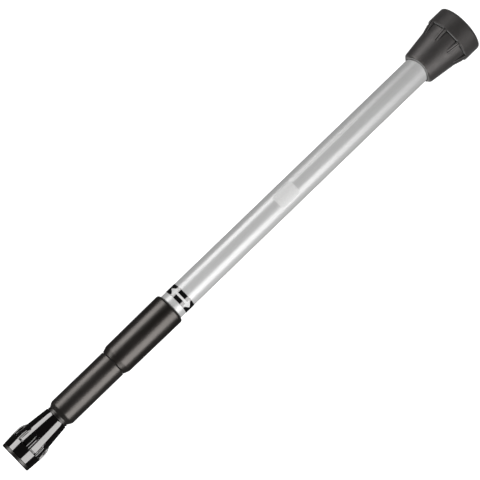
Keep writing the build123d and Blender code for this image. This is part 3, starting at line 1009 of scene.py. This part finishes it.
FINISHES = {
    "chrome": ground_face,
    "brushed_steel": turned,
    "brass": turned,
    "aluminium": turned,
    "matte_plastic": satin_plastic,
    "gloss_plastic": gloss_plastic,
    "rubber": grip_rubber,
}
SPECIAL_FINISHES = {
    "outer_tube": anodised,
    "inner_tube": anodised,
    "rubber_boot": boot_rubber,
    "knob_cap": satin_black,
    "collar_ring": satin_black,
}
TINTS = {
    "outer_tube": (0.80, 0.80, 0.795),
    "inner_tube": (0.80, 0.80, 0.80),
    "rubber_boot": (0.021, 0.019, 0.018),
    "upper_grip": (0.004, 0.003, 0.002),
    "lower_grip": (0.010, 0.009, 0.008),
    "knob_body": (0.002, 0.0015, 0.0015),
    "knob_cap": (0.006, 0.005, 0.0045),
    "collar_ring": (0.006, 0.005, 0.0045),
    "arrow_band": (0.003, 0.003, 0.003),
}


def record_materials():
    """One material for each slot of the record, by its class and colour."""
    made = {}
    for entry in frame["record"]["materials"]:
        slot = entry["slot"]
        finish = SPECIAL_FINISHES.get(slot) or FINISHES[entry["class"]]
        made[slot] = finish(slot + "_finish", tuple(TINTS.get(slot, entry["base_color"])))
    return made


# ------------------------------------------------------------------ assembly

materials = record_materials()
white_ink = ink("white_ink", (0.97, 0.97, 0.96), 0.3)
label_ink = ink("label_ink", (0.97, 0.97, 0.96), 0.34)


def place(piece, body, slot, node=None, material=None):
    """Gives a finished piece its material and its body, and hides the CAD node that it stands for.
    """
    piece.data.materials.append(material or materials[slot])
    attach(piece, body)
    if node:
        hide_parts(node)


def place_all():
    """Makes and places every new piece."""
    place(make_boot(), "outer_body", "rubber_boot", "rubber_boot")
    place(make_outer_tube(), "outer_body", "outer_tube", "outer_tube")
    place(make_band(), "outer_body", "arrow_band", "arrow_band")
    place(make_upper_grip(), "outer_body", "upper_grip", "upper_grip")
    place(make_magnet(), "outer_body", "magnet_disc", "magnet_disc")
    place(make_cup(), "outer_body", "magnet_cup", "magnet_cup")
    place(make_spacer(), "outer_body", "spacer_ring", "spacer_ring")
    place(make_label(), "outer_body", "outer_tube", material=label_ink)
    for name, degrees, width in PINSTRIPES:
        stripe = make_pinstripe(name, math.radians(degrees), width)
        place(stripe, "outer_body", "outer_tube", material=label_ink)
    for name, middle in (("arrow_front", math.pi / 2), ("arrow_back", -math.pi / 2)):
        place(make_arrow(name, middle), "outer_body", "arrow_band", material=white_ink)
    place(make_inner_tube(), "handle_body", "inner_tube", "inner_tube")
    place(make_lower_grip(), "handle_body", "lower_grip", "lower_grip")
    place(make_collar(), "handle_body", "collar_ring", "collar_ring")
    place(make_knob(), "handle_body", "knob_body", "knob_body")
    place(make_cap(), "handle_body", "knob_cap", "knob_cap")


def dress_nodes():
    """Gives every CAD node its finish, through its object's own material slots."""
    for entry in frame["record"]["subparts"]:
        for slot in frame["nodes"][entry["node"]].material_slots:
            slot.link = "OBJECT"
            slot.material = materials[entry["material_slot"]]


place_all()
dress_nodes()

# ------------------------------------------------------------------ stage

CAMERA_PLACE = Vector((-0.418, 0.0003, 1.4))
CAMERA_AIM = Vector((-0.21118, 0.0003, 0.0))
CAMERA_LENS = 159.41
CAMERA_TURN = math.radians(44)  # how far the tool's axis leans from level in the picture
FLOOR_HALF = 6.0
SOFTBOX_ANGLES = {"softbox_left": (46, 81), "softbox_right": (-30, -77)}
SOFTBOX_DISTANCE = 0.9
SOFTBOX_LENGTH = 0.95
SOFTBOX_X = -0.395
SOFTBOX_RADIANCE = 3.5
FLOOR_GLOW = 0.9
SURROUND_LEVEL = 0.02
BACKDROP_LEVEL = 0.95


def make_camera():
    """The camera looks down on the tool, with its magnet end up and to the right."""
    data = bpy.data.cameras.new("camera")
    data.lens = CAMERA_LENS
    data.sensor_width = 36
    data.clip_end = 50
    back = (CAMERA_PLACE - CAMERA_AIM).normalized()
    along = Vector((1, 0, 0)) - back * back.x
    along.normalize()
    across = back.cross(along)
    right = along * math.cos(CAMERA_TURN) - across * math.sin(CAMERA_TURN)
    up = along * math.sin(CAMERA_TURN) + across * math.cos(CAMERA_TURN)
    camera = bpy.data.objects.new("camera", data)
    turn = Matrix((right, up, back)).transposed().to_4x4()
    camera.matrix_world = Matrix.Translation(CAMERA_PLACE) @ turn
    bpy.context.scene.collection.objects.link(camera)
    bpy.context.scene.camera = camera


def make_softbox(name, start_angle, end_angle):
    """A long softbox beside the tool that fills the angles between two directions.

    The angles are from straight up, in degrees, and positive towards +Y.
    """
    ends = []
    for angle in (start_angle, end_angle):
        turn = math.radians(angle)
        out = Vector((0, math.sin(turn), math.cos(turn)))
        ends.append(Vector((SOFTBOX_X, 0, 0)) + out * SOFTBOX_DISTANCE)
    centre = (ends[0] + ends[1]) / 2
    width = (ends[1] - ends[0]).length
    light = bpy.data.lights.new(name, "AREA")
    light.shape = "RECTANGLE"
    light.size = SOFTBOX_LENGTH
    light.size_y = width
    light.energy = SOFTBOX_RADIANCE * math.pi * SOFTBOX_LENGTH * width
    box = bpy.data.objects.new(name, light)
    out = (centre - Vector((SOFTBOX_X, 0, 0))).normalized()
    along = Vector((1, 0, 0))
    turn = Matrix((along, out.cross(along), out)).transposed().to_4x4()
    box.matrix_world = Matrix.Translation(centre) @ turn
    box.visible_camera = False
    bpy.context.scene.collection.objects.link(box)


def make_floor():
    """A plain pale floor under the tool."""
    z = cad_box[0].z
    mesh = bpy.data.meshes.new("floor")
    corners = ((-1, -1), (1, -1), (1, 1), (-1, 1))
    verts = [(x * FLOOR_HALF, y * FLOOR_HALF, z) for x, y in corners]
    mesh.from_pydata(verts, [], [(0, 1, 2, 3)])
    floor = bpy.data.objects.new("floor", mesh)
    look = Shader("floor_paint", (0.85, 0.85, 0.85), roughness=0.9, Specular_IOR_Level=0.1)
    look.base.inputs["Emission Color"].default_value = (1, 1, 1, 1)
    look.base.inputs["Emission Strength"].default_value = FLOOR_GLOW
    mesh.materials.append(look.material)
    floor.visible_glossy = False
    floor.visible_diffuse = False
    bpy.context.scene.collection.objects.link(floor)


def make_sky():
    """A studio that is dark around the lights, with a pale backdrop for the camera."""
    world = bpy.data.worlds.new("studio")
    world.use_nodes = True
    tree = world.node_tree
    background = tree.nodes["Background"]
    background.inputs["Color"].default_value = (1, 1, 1, 1)
    path = tree.nodes.new("ShaderNodeLightPath")
    level = tree.nodes.new("ShaderNodeMapRange")
    level.inputs["To Min"].default_value = SURROUND_LEVEL
    level.inputs["To Max"].default_value = BACKDROP_LEVEL
    tree.links.new(path.outputs["Is Camera Ray"], level.inputs["Value"])
    tree.links.new(level.outputs["Result"], background.inputs["Strength"])
    bpy.context.scene.world = world


make_camera()
for box_name, (box_start, box_end) in SOFTBOX_ANGLES.items():
    make_softbox(box_name, box_start, box_end)
make_floor()
make_sky()
bpy.context.scene.view_settings.view_transform = "Standard"
